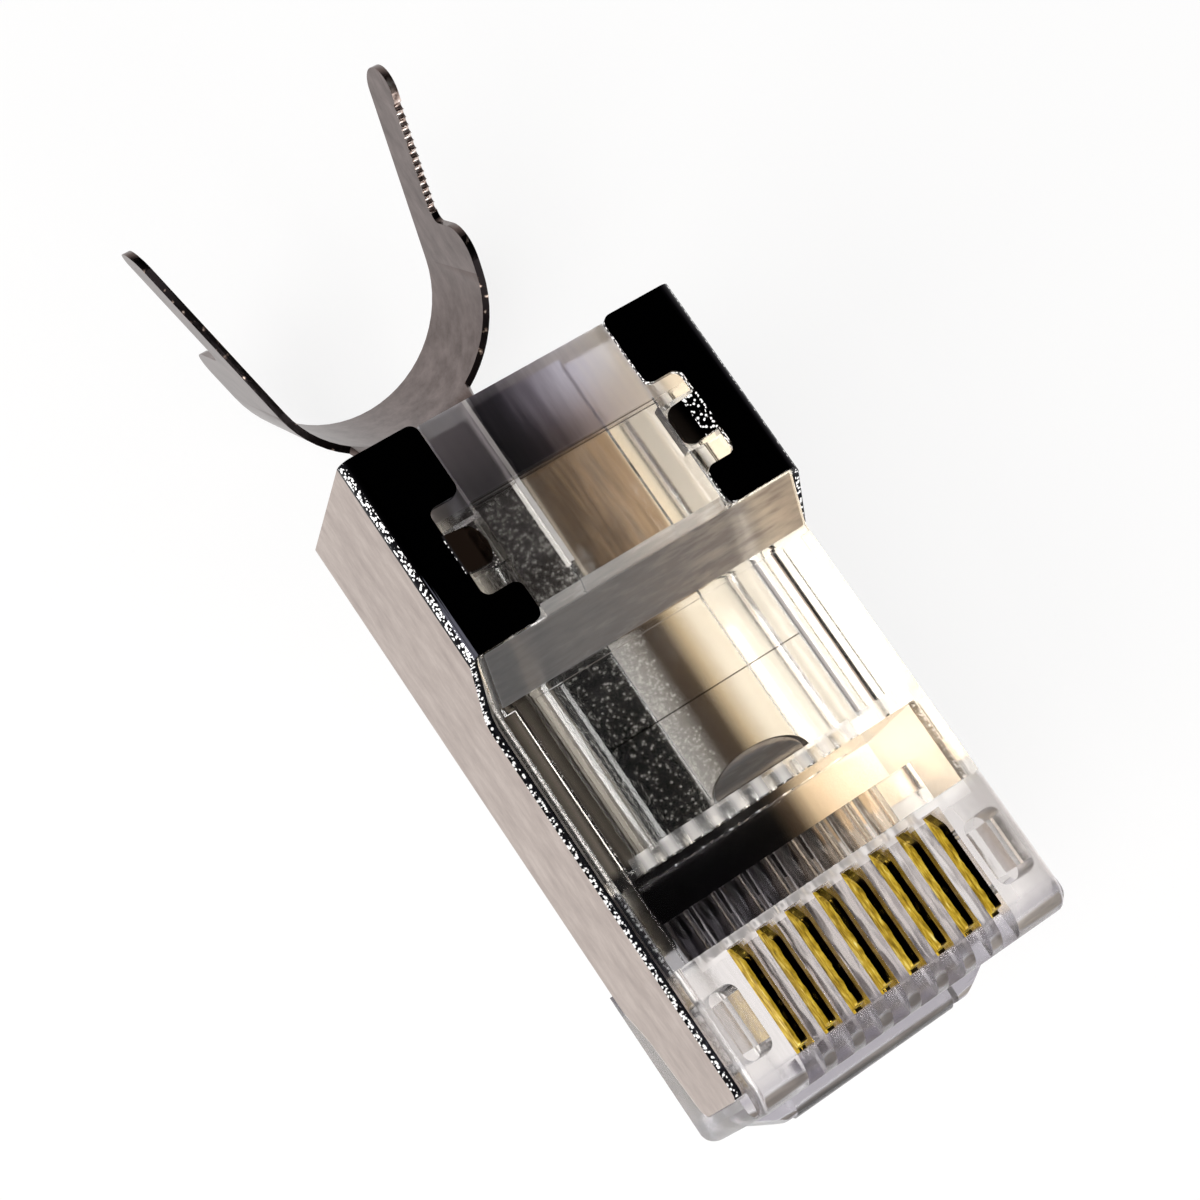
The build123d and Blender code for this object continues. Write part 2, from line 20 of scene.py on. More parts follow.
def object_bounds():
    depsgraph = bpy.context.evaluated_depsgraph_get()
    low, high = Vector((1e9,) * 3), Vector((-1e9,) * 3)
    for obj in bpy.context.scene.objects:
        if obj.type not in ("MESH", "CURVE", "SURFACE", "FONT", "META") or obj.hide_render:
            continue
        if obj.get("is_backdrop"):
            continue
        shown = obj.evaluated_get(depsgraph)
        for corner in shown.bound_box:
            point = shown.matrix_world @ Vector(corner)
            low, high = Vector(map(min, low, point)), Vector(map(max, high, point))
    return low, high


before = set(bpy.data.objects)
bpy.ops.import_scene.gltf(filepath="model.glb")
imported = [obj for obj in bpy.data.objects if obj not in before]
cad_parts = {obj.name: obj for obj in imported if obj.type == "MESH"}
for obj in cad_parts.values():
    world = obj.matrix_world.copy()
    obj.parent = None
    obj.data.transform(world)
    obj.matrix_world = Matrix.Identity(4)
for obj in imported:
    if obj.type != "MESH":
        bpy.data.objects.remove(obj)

MM = 0.001
cad_low, cad_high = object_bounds()
print("CAD box in mm:", [round(v / MM, 2) for v in (*cad_low, *cad_high)])

# %% [markdown]
# ## Colours and nodes
#
# A colour on a screen is written in sRGB, but the renderer adds light in linear values, so
# every hex code goes through one function. A second small function adds a shader node with
# its settings and its links, which keeps a long material readable as a list. The third gives
# the scale of a noise whose features have a known size, and the last starts a material.

# %% Helpers for materials
def linear(hex_code):
    """sRGB hex to linear: c / 12.92 near black, ((c + 0.055) / 1.055) ** 2.4 above it."""
    parts = [int(hex_code[i:i + 2], 16) / 255 for i in (1, 3, 5)]
    return (*[c / 12.92 if c <= 0.04045 else ((c + 0.055) / 1.055) ** 2.4 for c in parts], 1.0)


def node(tree, kind, inputs=None, stops=None, **settings):
    """Add a node: settings are its options, inputs are values or (node, output) pairs."""
    made = tree.nodes.new(kind)
    for name, value in settings.items():
        setattr(made, name, value)
    for socket, value in (inputs or {}).items():
        if isinstance(value, tuple) and isinstance(value[0], bpy.types.Node):
            tree.links.new(value[0].outputs[value[1]], made.inputs[socket])
        else:
            made.inputs[socket].default_value = value
    if stops:
        ramp = made.color_ramp.elements
        while len(ramp) < len(stops):
            ramp.new(0.5)
        for element, (position, colour) in zip(ramp, stops):
            element.position = position
            element.color = linear(colour)
    return made


def per_metre(millimetres):
    """Noise scale for features of a given size: one feature to that many millimetres."""
    return 1000 / millimetres


def bare_material(name):
    """A new material with an empty node tree, and that tree."""
    material = bpy.data.materials.new(name)
    material.use_nodes = True
    material.node_tree.nodes.clear()
    return material, material.node_tree


print("mid grey #808080 is", round(linear("#808080")[0], 3), "in linear light")

# %% [markdown]
# ## The camera
#
# The photograph looks steeply down on the contact side, from the left and a little behind
# the nose, and is turned so that the plug lies diagonally. Camera place and turn were worked
# out from the corners of the plug. A camera could be aimed with a constraint, but its three
# axes written as the columns of a matrix say the same with nothing left to guess.

# %% Place the camera
photo_pixels = 1200
focal_pixels = 2591.0
sensor_width = 36.0
camera_place = np.array([-26.2096, 2.3543, 75.3754]) * MM
right_axis = np.array([0.80734, -0.55775, 0.19265])
down_axis = np.array([-0.48560, -0.81347, -0.32009])
view_axis = np.array([0.33525, 0.16487, -0.92759])

scene = bpy.context.scene
camera_data = bpy.data.cameras.new("camera")
camera_data.sensor_width = sensor_width
camera_data.lens = sensor_width * focal_pixels / photo_pixels
camera_data.clip_start = 0.001
camera = bpy.data.objects.new("camera", camera_data)
scene.collection.objects.link(camera)
camera_turn = Matrix((right_axis, -down_axis, -view_axis)).transposed().to_4x4()
camera.matrix_world = Matrix.Translation(Vector(camera_place)) @ camera_turn
scene.camera = camera
scene.view_settings.view_transform = "Standard"
print("lens in mm:", round(camera_data.lens, 2))

# %% [markdown]
# ## The floor
#
# The plug lies on white paper. Paper under studio lamps is never quite even, and a brighter
# lamp would bleach the plug as well. So rays from the camera, and those mirrored in metal,
# meet paper that is mostly a plain glow, while all other rays meet matt paper. The matt
# share is enough to hold the plug's soft shadow.

# %% Lay the floor
floor_half = 0.6
level = cad_low.z - 0.02 * MM

floor_mesh = bpy.data.meshes.new("floor")
floor_mesh.from_pydata(
    [(x, y, level) for x, y in ((-floor_half, -floor_half), (floor_half, -floor_half),
                                (floor_half, floor_half), (-floor_half, floor_half))],
    [], [(0, 1, 2, 3)])
floor = bpy.data.objects.new("floor", floor_mesh)
scene.collection.objects.link(floor)
floor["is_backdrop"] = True
print("floor at", round(level / MM, 2), "mm")

# %% Make the paper
floor_glow = 0.84
glow_through_plastic = 0.2

paper, tree = bare_material("white_paper_sweep")
rays = node(tree, "ShaderNodeLightPath")
camera_or_glossy = node(tree, "ShaderNodeMath", {
    0: (rays, "Is Camera Ray"), 1: (rays, "Is Glossy Ray")}, operation="MAXIMUM")
through = node(tree, "ShaderNodeMath", {
    0: (rays, "Is Transmission Ray"), 1: glow_through_plastic}, operation="MULTIPLY")
seen = node(tree, "ShaderNodeMath", {0: (camera_or_glossy, 0), 1: (through, 0)},
            operation="MAXIMUM")
share = node(tree, "ShaderNodeMath", {0: (seen, 0), 1: floor_glow}, operation="MULTIPLY")
matt = node(tree, "ShaderNodeBsdfDiffuse", {"Color": linear("#f6f5f4"), "Roughness": 0.0})
glow = node(tree, "ShaderNodeEmission", {"Color": (1, 1, 1, 1), "Strength": 1.0})
mixed = node(tree, "ShaderNodeMixShader", {0: (share, 0), 1: (matt, 0), 2: (glow, 0)})
node(tree, "ShaderNodeOutputMaterial", {"Surface": (mixed, 0)})
floor_mesh.materials.append(paper)
print("the paper glows at", floor_glow, "and through plastic at", glow_through_plastic)

# %% [markdown]
# ## Lamps and surroundings
#
# The metal in the picture has strong contrast: what the shiny sheet mirrors overhead is
# dark, and what it mirrors near the horizon is pale. A studio gets that from a white table,
# a dark ceiling and a few soft lamps, so the scene is built the same way. A picture of a
# real studio could be wrapped around the plug, but three lamps and a ramp from pale to dark
# are easier to change.

# %% Darken the ceiling
world = bpy.data.worlds.new("studio")
scene.world = world
world.use_nodes = True
tree = world.node_tree
tree.nodes.clear()
direction = node(tree, "ShaderNodeTexCoord")
parts = node(tree, "ShaderNodeSeparateXYZ", {0: (direction, "Generated")})
ceiling = node(tree, "ShaderNodeValToRGB", {0: (parts, "Z")}, stops=[
    (0.0, "#e6e2df"), (0.35, "#cfc8c4"), (0.65, "#4a4648"), (0.85, "#0c0c0e")])
rays = node(tree, "ShaderNodeLightPath")
surround = node(tree, "ShaderNodeBackground", {"Color": (ceiling, 0), "Strength": 1.0})
white = node(tree, "ShaderNodeBackground", {"Color": (1, 1, 1, 1), "Strength": 1.0})
mixed = node(tree, "ShaderNodeMixShader", {
    0: (rays, "Is Camera Ray"), 1: (surround, 0), 2: (white, 0)})
node(tree, "ShaderNodeOutputWorld", {"Surface": (mixed, 0)})
print("the surroundings have", len(ceiling.color_ramp.elements), "tones")

# %% Hang the lamps
# A lamp is (name, place in mm, point it looks at in mm, width, height in mm, watts)
lamps = [
    ("softbox_top", (-150, -10, 270), (0, 9, 2), 160, 120, 0.5),
    ("softbox_left", (-260, -60, 180), (0, 8, 3), 180, 140, 0.8),
    ("softbox_front", (40, -300, 150), (0, 8, 3), 220, 120, 0.45),
]
for name, spot, target, width, height, watts in lamps:
    lamp = bpy.data.lights.new(name, "AREA")
    lamp.shape = "RECTANGLE"
    lamp.size, lamp.size_y, lamp.energy = width * MM, height * MM, watts
    holder = bpy.data.objects.new(name, lamp)
    scene.collection.objects.link(holder)
    holder.location = Vector(spot) * MM
    aim = Vector(target) - Vector(spot)
    holder.rotation_euler = aim.to_track_quat("-Z", "Y").to_euler()
print("lamps:", [lamp[0] for lamp in lamps])

# %% [markdown]
# ## Clear polycarbonate
#
# The body and the latch lever are moulded in clear polycarbonate, a dense plastic that bends
# light more than window glass (IOR 1.585). It could be a mix of transparent and glossy
# shaders, which is quick but shows no bending. A transmitting surface is used instead,
# because the walls, ribs and channels are seen only by the way that they bend the light.
#
# The mould isn't polished alike everywhere. The nose is wavy, the sloped shoulder and the
# strain relief pocket are frosted. Each such place gets a mask: a number that is 1 on the
# place and 0 elsewhere, from the position or from the direction in which the face looks.

# %% Mask the nose, the shoulder and the pocket
polycarbonate_ior = 1.585
shoulder_slope = (0, -0.694, 0.72)

polycarbonate, tree = bare_material("clear_moulded_polycarbonate")
place = node(tree, "ShaderNodeTexCoord")
xyz = node(tree, "ShaderNodeSeparateXYZ", {0: (place, "Object")})
facing = node(tree, "ShaderNodeNewGeometry")
side = node(tree, "ShaderNodeMath", {0: (xyz, "X")}, operation="ABSOLUTE")
nose = node(tree, "ShaderNodeMapRange", {
    "Value": (xyz, "Y"), "From Min": 4.7 * MM, "From Max": 4.3 * MM})
nose_edge = node(tree, "ShaderNodeMapRange", {
    "Value": (xyz, "Y"), "From Min": 1.0 * MM, "From Max": 0.6 * MM})
slope = node(tree, "ShaderNodeVectorMath", {0: (facing, "Normal"), 1: shoulder_slope},
             operation="DOT_PRODUCT")
shoulder = node(tree, "ShaderNodeMapRange", {
    "Value": (slope, "Value"), "From Min": 0.95, "From Max": 0.98})
pocket_run = node(tree, "ShaderNodeMath", {0: (xyz, "Y"), 1: 6.0 * MM, 2: 1.4 * MM},
                  operation="COMPARE")
pocket_low = node(tree, "ShaderNodeMath", {0: (xyz, "Z"), 1: 5.8 * MM}, operation="LESS_THAN")
pocket = node(tree, "ShaderNodeMath", {0: (pocket_run, 0), 1: (pocket_low, 0)},
              operation="MULTIPLY")
print("polycarbonate bends light by", polycarbonate_ior, "and its shoulder faces", shoulder_slope)

# %% [markdown]
# ## The thumb scoop
#
# A shallow half round is cut into the window's front edge. It looks dark from above,
# because its curved face turns the light away, and that dark is painted on as shade. Its mask
# is an ellipse on the window: the place is moved to the scoop's middle and divided by its
# half width and half length, and the scoop is where the result is shorter than 1.

# %% Mask the scoop
scoop_middle = 7.95
scoop_half_width, scoop_half_length = 1.66, 0.82

scoop_place = node(tree, "ShaderNodeVectorMath", {
    0: (place, "Object"), 1: (0, -scoop_middle * MM, 0)}, operation="ADD")
scoop_scale = node(tree, "ShaderNodeVectorMath", {
    0: (scoop_place, 0), 1: (1 / (scoop_half_width * MM), 1 / (scoop_half_length * MM), 0)},
    operation="MULTIPLY")
scoop_reach = node(tree, "ShaderNodeVectorMath", {0: (scoop_scale, 0)}, operation="LENGTH")
scoop_round = node(tree, "ShaderNodeMath", {0: (scoop_reach, "Value"), 1: 1.0},
                   operation="LESS_THAN")
scoop_high = node(tree, "ShaderNodeMath", {0: (xyz, "Z"), 1: 5.45 * MM},
                  operation="GREATER_THAN")
scoop_back = node(tree, "ShaderNodeMath", {0: (xyz, "Y"), 1: 7.93 * MM},
                  operation="GREATER_THAN")
scoop_face = node(tree, "ShaderNodeMath", {0: (scoop_high, 0), 1: (scoop_back, 0)},
                  operation="MULTIPLY")
scoop = node(tree, "ShaderNodeMath", {0: (scoop_round, 0), 1: (scoop_face, 0)},
             operation="MULTIPLY")
print("scoop of", 2 * scoop_half_width, "by", scoop_half_length, "mm")

# %% [markdown]
# ## Painted reflection on the rear roof and in the pocket
#
# Behind the rear parting line the roof is dark on the left and lilac on the right, and the
# pocket goes from grey to cream. On the real plug this is the shield, with the dark and
# bright surroundings that it mirrors, seen through frosted plastic, so these tints are painted
# reflection. A clear roof would show the shield too, but as sharp as the rest, so the roof's
# outer face alone gets the tint. A tint on every face would count twice where light enters
# and leaves. Noise that is stretched along the plug gives the streaks.

# %% Tint the rear roof and the pocket with painted reflection
behind_line = node(tree, "ShaderNodeMapRange", {
    "Value": (xyz, "Y"), "From Min": 18.6 * MM, "From Max": 18.8 * MM})
roof_top = node(tree, "ShaderNodeMath", {0: (xyz, "Z"), 1: 6.5 * MM}, operation="GREATER_THAN")
rear_roof = node(tree, "ShaderNodeMath", {0: (behind_line, 0), 1: (roof_top, 0)},
                 operation="MULTIPLY")
streak_place = node(tree, "ShaderNodeMapping", {
    "Vector": (place, "Object"), "Scale": (1.0, 0.12, 1.0)})
streaks = node(tree, "ShaderNodeTexNoise", {
    "Vector": (streak_place, 0), "Scale": per_metre(0.3), "Detail": 3.0})
streaked_x = node(tree, "ShaderNodeMath", {
    0: (streaks, "Fac"), 1: 1.6 * MM, 2: (xyz, "X")}, operation="MULTIPLY_ADD")
roof_share = node(tree, "ShaderNodeMapRange", {
    "Value": (streaked_x, 0), "From Min": -2.5 * MM, "From Max": 4.1 * MM})
# painted reflection: dark on the left, lilac and pale on the right of the rear roof
rear_roof_reflection = node(tree, "ShaderNodeValToRGB", {0: (roof_share, 0)}, stops=[
    (0.0, "#8d898f"), (0.22, "#7b767d"), (0.26, "#17151a"), (0.42, "#322e35"),
    (0.55, "#746d77"), (0.75, "#c4bfca"), (1.0, "#e8e1dc")])
pocket_share = node(tree, "ShaderNodeMapRange", {
    "Value": (xyz, "X"), "From Min": -1 * MM, "From Max": 3 * MM})
# painted reflection: grey to cream across the pocket
pocket_reflection_tone = node(tree, "ShaderNodeValToRGB", {0: (pocket_share, 0)}, stops=[
    (0.0, "#7f7c80"), (0.5, "#99928c"), (1.0, "#f3e9dc")])
print("the smoke has", len(rear_roof_reflection.color_ramp.elements), "tones")

# %% [markdown]
# ## Parting lines and the mottled shoulder
#
# Where two inserts of the mould meet, a hair of plastic stands up. There is one such line
# across the window and one across the rear roof, 0.04 mm wide, which is too fine to model,
# so they are drawn as darker lines. The shoulder is eroded like a frosted pane: noise that
# is stretched across the plug gives its mottle, and its dark brown, darker to the left, is
# painted shade.

# %% Draw the parting lines and the mottle
window_parting, roof_parting = 10.8, 18.7
line_half = 0.02

window_line = node(tree, "ShaderNodeMath", {
    0: (xyz, "Y"), 1: window_parting * MM, 2: line_half * MM}, operation="COMPARE")
roof_line = node(tree, "ShaderNodeMath", {
    0: (xyz, "Y"), 1: roof_parting * MM, 2: line_half * MM}, operation="COMPARE")
both_lines = node(tree, "ShaderNodeMath", {0: (window_line, 0), 1: (roof_line, 0)},
                  operation="ADD")
line_high = node(tree, "ShaderNodeMath", {0: (xyz, "Z"), 1: 5.95 * MM},
                 operation="GREATER_THAN")
line_short = node(tree, "ShaderNodeMath", {0: (side, 0), 1: 3.4 * MM}, operation="LESS_THAN")
line_place = node(tree, "ShaderNodeMath", {0: (line_high, 0), 1: (line_short, 0)},
                  operation="MULTIPLY")
parting = node(tree, "ShaderNodeMath", {0: (both_lines, 0), 1: (line_place, 0)},
               operation="MULTIPLY")
shoulder_smear = node(tree, "ShaderNodeMapping", {
    "Vector": (place, "Object"), "Scale": (0.2, 1.0, 1.0)})
mottle = node(tree, "ShaderNodeTexNoise", {
    "Vector": (shoulder_smear, 0), "Scale": per_metre(0.22), "Detail": 4.0})
shade_across_shoulder = node(tree, "ShaderNodeMapRange", {
    "Value": (xyz, "X"), "From Min": -6 * MM, "From Max": 6 * MM,
    "To Min": -0.22, "To Max": 0.22})
shoulder_draw = node(tree, "ShaderNodeMath", {0: (mottle, "Fac"), 1: (shade_across_shoulder, 0)},
                     operation="ADD")
# painted shade: dark brown on the shoulder, darker to the left, with the frosting's mottle
shoulder_painted_shade = node(tree, "ShaderNodeValToRGB", {0: (shoulder_draw, 0)}, stops=[
    (0.2, "#332a25"), (0.5, "#4d423a"), (0.8, "#877a6c")])
print("parting lines at", (window_parting, roof_parting), "mm,", 2 * line_half, "mm wide")

# %% [markdown]
# ## How frosted each place is
#
# Roughness says how far a surface blurs what is behind it: 0.07 on the polished faces and
# up to 0.42 on the shoulder. The masks are laid over one another like stencils, and a later
# one wins over an earlier one. The bar before the window and the nose's flanks join here.

# %% Mix the roughness
row_half = 4.9
bar_middle, bar_half = 7.66, 0.26

bar_run = node(tree, "ShaderNodeMath", {
    0: (xyz, "Y"), 1: bar_middle * MM, 2: bar_half * MM}, operation="COMPARE")
within_row = node(tree, "ShaderNodeMath", {0: (side, 0), 1: row_half * MM},
                  operation="LESS_THAN")
bar_high = node(tree, "ShaderNodeMath", {0: (xyz, "Z"), 1: 5.7 * MM}, operation="GREATER_THAN")
bar_place = node(tree, "ShaderNodeMath", {0: (bar_run, 0), 1: (within_row, 0)},
                 operation="MULTIPLY")
bar = node(tree, "ShaderNodeMath", {0: (bar_place, 0), 1: (bar_high, 0)}, operation="MULTIPLY")
outer_side = node(tree, "ShaderNodeMath", {0: (side, 0), 1: 4.5 * MM}, operation="GREATER_THAN")
nose_side = node(tree, "ShaderNodeMath", {0: (outer_side, 0), 1: (nose, 0)},
                 operation="MULTIPLY")
haze = node(tree, "ShaderNodeMapRange", {
    "Value": (nose_edge, 0), "To Min": 0.07, "To Max": 0.22})
frost = haze
for mask, rough in ((pocket, 0.12), (scoop, 0.3), (rear_roof, 0.32), (bar, 0.2),
                    (nose_side, 0.25), (shoulder, 0.42)):
    frost = node(tree, "ShaderNodeMix", {0: (mask, 0), 2: (frost, 0), 3: rough})
print("bar from", round(bar_middle - bar_half, 2), "to", round(bar_middle + bar_half, 2), "mm")

# %% [markdown]
# ## The body's tints
#
# Polycarbonate this thin is almost colourless, with a trace of warm grey. The painted shade
# of the nose, the painted reflection of the roof and pocket, the scoop's painted shade, the
# lines and the shoulder's painted shade are laid over it in the same stencil order.

# %% Mix the tints
roof_tint = node(tree, "ShaderNodeMix", {
    0: (rear_roof, 0), 6: linear("#f4f3f1"), 7: (rear_roof_reflection, 0)}, data_type="RGBA")
# painted shade: the nose's front edge is lilac grey
nose_painted_shade = node(tree, "ShaderNodeMix", {
    0: (nose_edge, 0), 6: linear("#f1ecea"), 7: linear("#bab6bd")}, data_type="RGBA")
tint = node(tree, "ShaderNodeMix", {
    0: (nose, 0), 6: (roof_tint, 2), 7: (nose_painted_shade, 2)}, data_type="RGBA")
pocket_tint = node(tree, "ShaderNodeMix", {
    0: (pocket, 0), 6: (tint, 2), 7: (pocket_reflection_tone, 0)}, data_type="RGBA")
# painted shade in the scoop
scoop_painted_shade = node(tree, "ShaderNodeMix", {
    0: (scoop, 0), 6: (pocket_tint, 2), 7: linear("#2b2521")}, data_type="RGBA")
line_tint = node(tree, "ShaderNodeMix", {
    0: (parting, 0), 6: (scoop_painted_shade, 2), 7: linear("#4a4240")}, data_type="RGBA")
body_tint = node(tree, "ShaderNodeMix", {
    0: (shoulder, 0), 6: (line_tint, 2), 7: (shoulder_painted_shade, 0)}, data_type="RGBA")
print("clear plastic is", [round(c, 2) for c in linear("#f4f3f1")[:3]], "in linear light")

# %% [markdown]
# ## Painted highlights on beads and edges
#
# The bar before the window catches the light in a row of soft beads, the roof's groove has a
# bright left edge, and so has the lip behind the blades. These marks are only hundredths of a
# millimetre deep. They could be modelled; here their highlights are painted as milky white
# places instead. A wave that rises for 0.4 mm and falls for as long gives the beads, and each
# painted highlight takes away just as much of the plastic's clearness.

# %% Pour the beads on the bar
bead_step = 0.4

bead_wave = node(tree, "ShaderNodeMath", {0: (xyz, "X"), 1: bead_step * MM},
                 operation="PINGPONG")
bead = node(tree, "ShaderNodeMapRange", {
    "Value": (bead_wave, 0), "From Min": 0.08 * MM, "From Max": 0.34 * MM,
    "To Min": 0.08, "To Max": 0.5})
bead_highlight = node(tree, "ShaderNodeMath", {0: (bead, 0), 1: (bar, 0)}, operation="MULTIPLY")
print("a bead every", 2 * bead_step, "mm")

# %% Paint highlights on the edges of the groove and the lip
groove_left, groove_half = -1.68, 0.07
lip_middle, lip_half = 4.42, 0.22

groove_run = node(tree, "ShaderNodeMath", {
    0: (xyz, "X"), 1: groove_left * MM, 2: groove_half * MM}, operation="COMPARE")
groove_edge = node(tree, "ShaderNodeMath", {0: (groove_run, 0), 1: (roof_top, 0)},
                   operation="MULTIPLY")
behind_shoulder = node(tree, "ShaderNodeMath", {0: (xyz, "Y"), 1: 15.8 * MM},
                       operation="GREATER_THAN")
groove_place = node(tree, "ShaderNodeMath", {0: (groove_edge, 0), 1: (behind_shoulder, 0)},
                    operation="MULTIPLY")
groove_highlight = node(tree, "ShaderNodeMath", {0: (groove_place, 0), 1: 0.4},
                   operation="MULTIPLY")
lip_run = node(tree, "ShaderNodeMath", {
    0: (xyz, "Y"), 1: lip_middle * MM, 2: lip_half * MM}, operation="COMPARE")
lip_place = node(tree, "ShaderNodeMath", {0: (lip_run, 0), 1: (within_row, 0)},
                 operation="MULTIPLY")
lip = node(tree, "ShaderNodeMath", {0: (lip_place, 0), 1: (bar_high, 0)}, operation="MULTIPLY")
lip_highlight = node(tree, "ShaderNodeMath", {0: (lip, 0), 1: 0.3}, operation="MULTIPLY")
# painted highlights: milky white on the beads and on the bright edges
edge_highlights = node(tree, "ShaderNodeMath", {0: (groove_highlight, 0), 1: (lip_highlight, 0)},
                  operation="MAXIMUM")
milky_highlight = node(tree, "ShaderNodeMath", {0: (edge_highlights, 0), 1: (bead_highlight, 0)},
            operation="MAXIMUM")
print("milky edges", 2 * groove_half, "and", 2 * lip_half, "mm wide")

# %% [markdown]
# ## The plastic put together
#
# The surface transmits, with a faint wave on the nose where the mould's steel was worn. Light
# from a lamp can't find its way through a bending surface, so all that lies behind it would
# stay black. For shadow rays, and for them alone, the plastic is a plain clear film.

# %% Finish the polycarbonate
clearness = node(tree, "ShaderNodeMapRange", {"Value": (milky_highlight, 0), "To Min": 1.0, "To Max": 0.0})
highlight_tint = node(tree, "ShaderNodeMix", {
    0: (milky_highlight, 0), 6: (body_tint, 2), 7: linear("#f2ece6")}, data_type="RGBA")
waves = node(tree, "ShaderNodeTexNoise", {
    "Vector": (place, "Object"), "Scale": per_metre(1.1), "Detail": 1.0})
wavy = node(tree, "ShaderNodeBump", {
    "Height": (waves, "Fac"), "Strength": (nose, 0), "Distance": 0.02 * MM})
clear = node(tree, "ShaderNodeBsdfPrincipled", {
    "Base Color": (highlight_tint, 2), "Roughness": (frost, 0), "IOR": polycarbonate_ior,
    "Transmission Weight": (clearness, 0), "Normal": (wavy, 0)})
rays = node(tree, "ShaderNodeLightPath")
lamp_light = node(tree, "ShaderNodeBsdfTransparent", {"Color": linear("#f7f6f4")})
lit_through = node(tree, "ShaderNodeMixShader", {
    0: (rays, "Is Shadow Ray"), 1: (clear, 0), 2: (lamp_light, 0)})
node(tree, "ShaderNodeOutputMaterial", {"Surface": (lit_through, 0)})
print("polycarbonate made of", len(tree.nodes), "nodes")

# %% [markdown]
# ## Nickel-plated sheet
#
# The shield is thin sheet, plated with bright nickel and folded. Its top flaps are smooth
# enough to mirror a dark ceiling, and that dark is painted into their colour as well; its
# sides are satin, with a painted warm reflection and blotchy stains, and the deck, which is
# the sheet under the clear body, has a rolled, pebbled face whose sparkle is painted. One
# metal with masks by place is simpler than several, and the finish then changes without a
# seam.

# %% Mask the shield's parts
body_end = 21.6

nickel, tree = bare_material("nickel_plated_sheet")
place = node(tree, "ShaderNodeTexCoord")
xyz = node(tree, "ShaderNodeSeparateXYZ", {0: (place, "Object")})
facing = node(tree, "ShaderNodeNewGeometry")
looks = node(tree, "ShaderNodeSeparateXYZ", {0: (facing, "Normal")})
flaps = node(tree, "ShaderNodeMapRange", {
    "Value": (xyz, "Z"), "From Min": 7.1 * MM, "From Max": 7.3 * MM})
clip_part = node(tree, "ShaderNodeMapRange", {
    "Value": (xyz, "Y"), "From Min": 21.7 * MM, "From Max": 22.3 * MM})
low = node(tree, "ShaderNodeMath", {0: (xyz, "Z"), 1: 0.5 * MM}, operation="LESS_THAN")
upward = node(tree, "ShaderNodeMath", {0: (looks, "Z"), 1: 0.9}, operation="GREATER_THAN")
not_clip = node(tree, "ShaderNodeMath", {0: (xyz, "Y"), 1: body_end * MM},
                operation="LESS_THAN")
low_up = node(tree, "ShaderNodeMath", {0: (low, 0), 1: (upward, 0)}, operation="MULTIPLY")
deck = node(tree, "ShaderNodeMath", {0: (low_up, 0), 1: (not_clip, 0)}, operation="MULTIPLY")
inward = node(tree, "ShaderNodeMath", {0: (looks, "X"), 1: (xyz, "X")}, operation="MULTIPLY")
inner_face = node(tree, "ShaderNodeMath", {0: (inward, 0), 1: -4.5 * MM}, operation="LESS_THAN")
inner = node(tree, "ShaderNodeMath", {0: (inner_face, 0), 1: (not_clip, 0)},
             operation="MULTIPLY")
print("the plug's body ends and its clip starts at", body_end, "mm")

# %% [markdown]
# ## The deck's painted reflections
#
# Seen through the body, the deck runs from charcoal on the left through a silver band and
# brown to cream on the right, because it mirrors a dark wall there and a bright one here.
# The mirror could be left to find such a room, but through the ribs of the body it finds
# only fragments. So the reflected tones are painted on the deck by place, and they stay where
# they are from every side. The share runs from 0 on the left to 1 on the right.

# %% Paint the reflections under the window and the pocket
deck_half = 6

across = node(tree, "ShaderNodeMath", {0: (xyz, "Y"), 1: -0.02, 2: (xyz, "X")},
              operation="MULTIPLY_ADD")
share = node(tree, "ShaderNodeMapRange", {
    "Value": (across, 0), "From Min": -deck_half * MM, "From Max": deck_half * MM})
# painted reflection: charcoal, a silver band, brown and cream across the deck
window_painted_reflection = node(tree, "ShaderNodeValToRGB", {0: (share, 0)}, stops=[
    (0.0, "#6d655d"), (0.04, "#9b9288"), (0.055, "#5b544d"), (0.085, "#a39a90"),
    (0.10, "#5f5851"), (0.13, "#aaa095"), (0.14, "#4f4943"), (0.15, "#1d1d20"),
    (0.480, "#161618"), (0.488, "#c9c8cb"), (0.55, "#a3a09e"), (0.59, "#4e433b"),
    (0.635, "#594c3f"), (0.68, "#dcc8a8"), (0.725, "#fff6e6"), (1.0, "#fffaf2")])
pocket_deck_reflection = node(tree, "ShaderNodeValToRGB", {0: (share, 0)}, stops=[
    (0.0, "#29282a"), (0.60, "#1f1e20"), (0.66, "#6f6355"), (0.715, "#f3e4ca"),
    (1.0, "#fffaf2")])
under_window = node(tree, "ShaderNodeMapRange", {
    "Value": (xyz, "Y"), "From Min": 7.9 * MM, "From Max": 8.2 * MM})
front_painted_reflection = node(tree, "ShaderNodeMix", {
    0: (under_window, 0), 6: (pocket_deck_reflection, 0), 7: (window_painted_reflection, 0)}, data_type="RGBA")
print("tones from left to right:", len(window_painted_reflection.color_ramp.elements), "under the window")

# %% [markdown]
# ## The rear of the deck
#
# Under the rear roof the deck is a strip of brushed brown between a dark left part and a
# pale right one. The dark, the brown and the pale are painted reflection and shade, and the
# brushing is the sheet's grain. Noise that is stretched about sixteen times along the plug
# gives the brushing, and shifts the brown from place to place.

# %% Paint the reflections under the rear roof
brown_from, brown_to = 0.550, 0.832

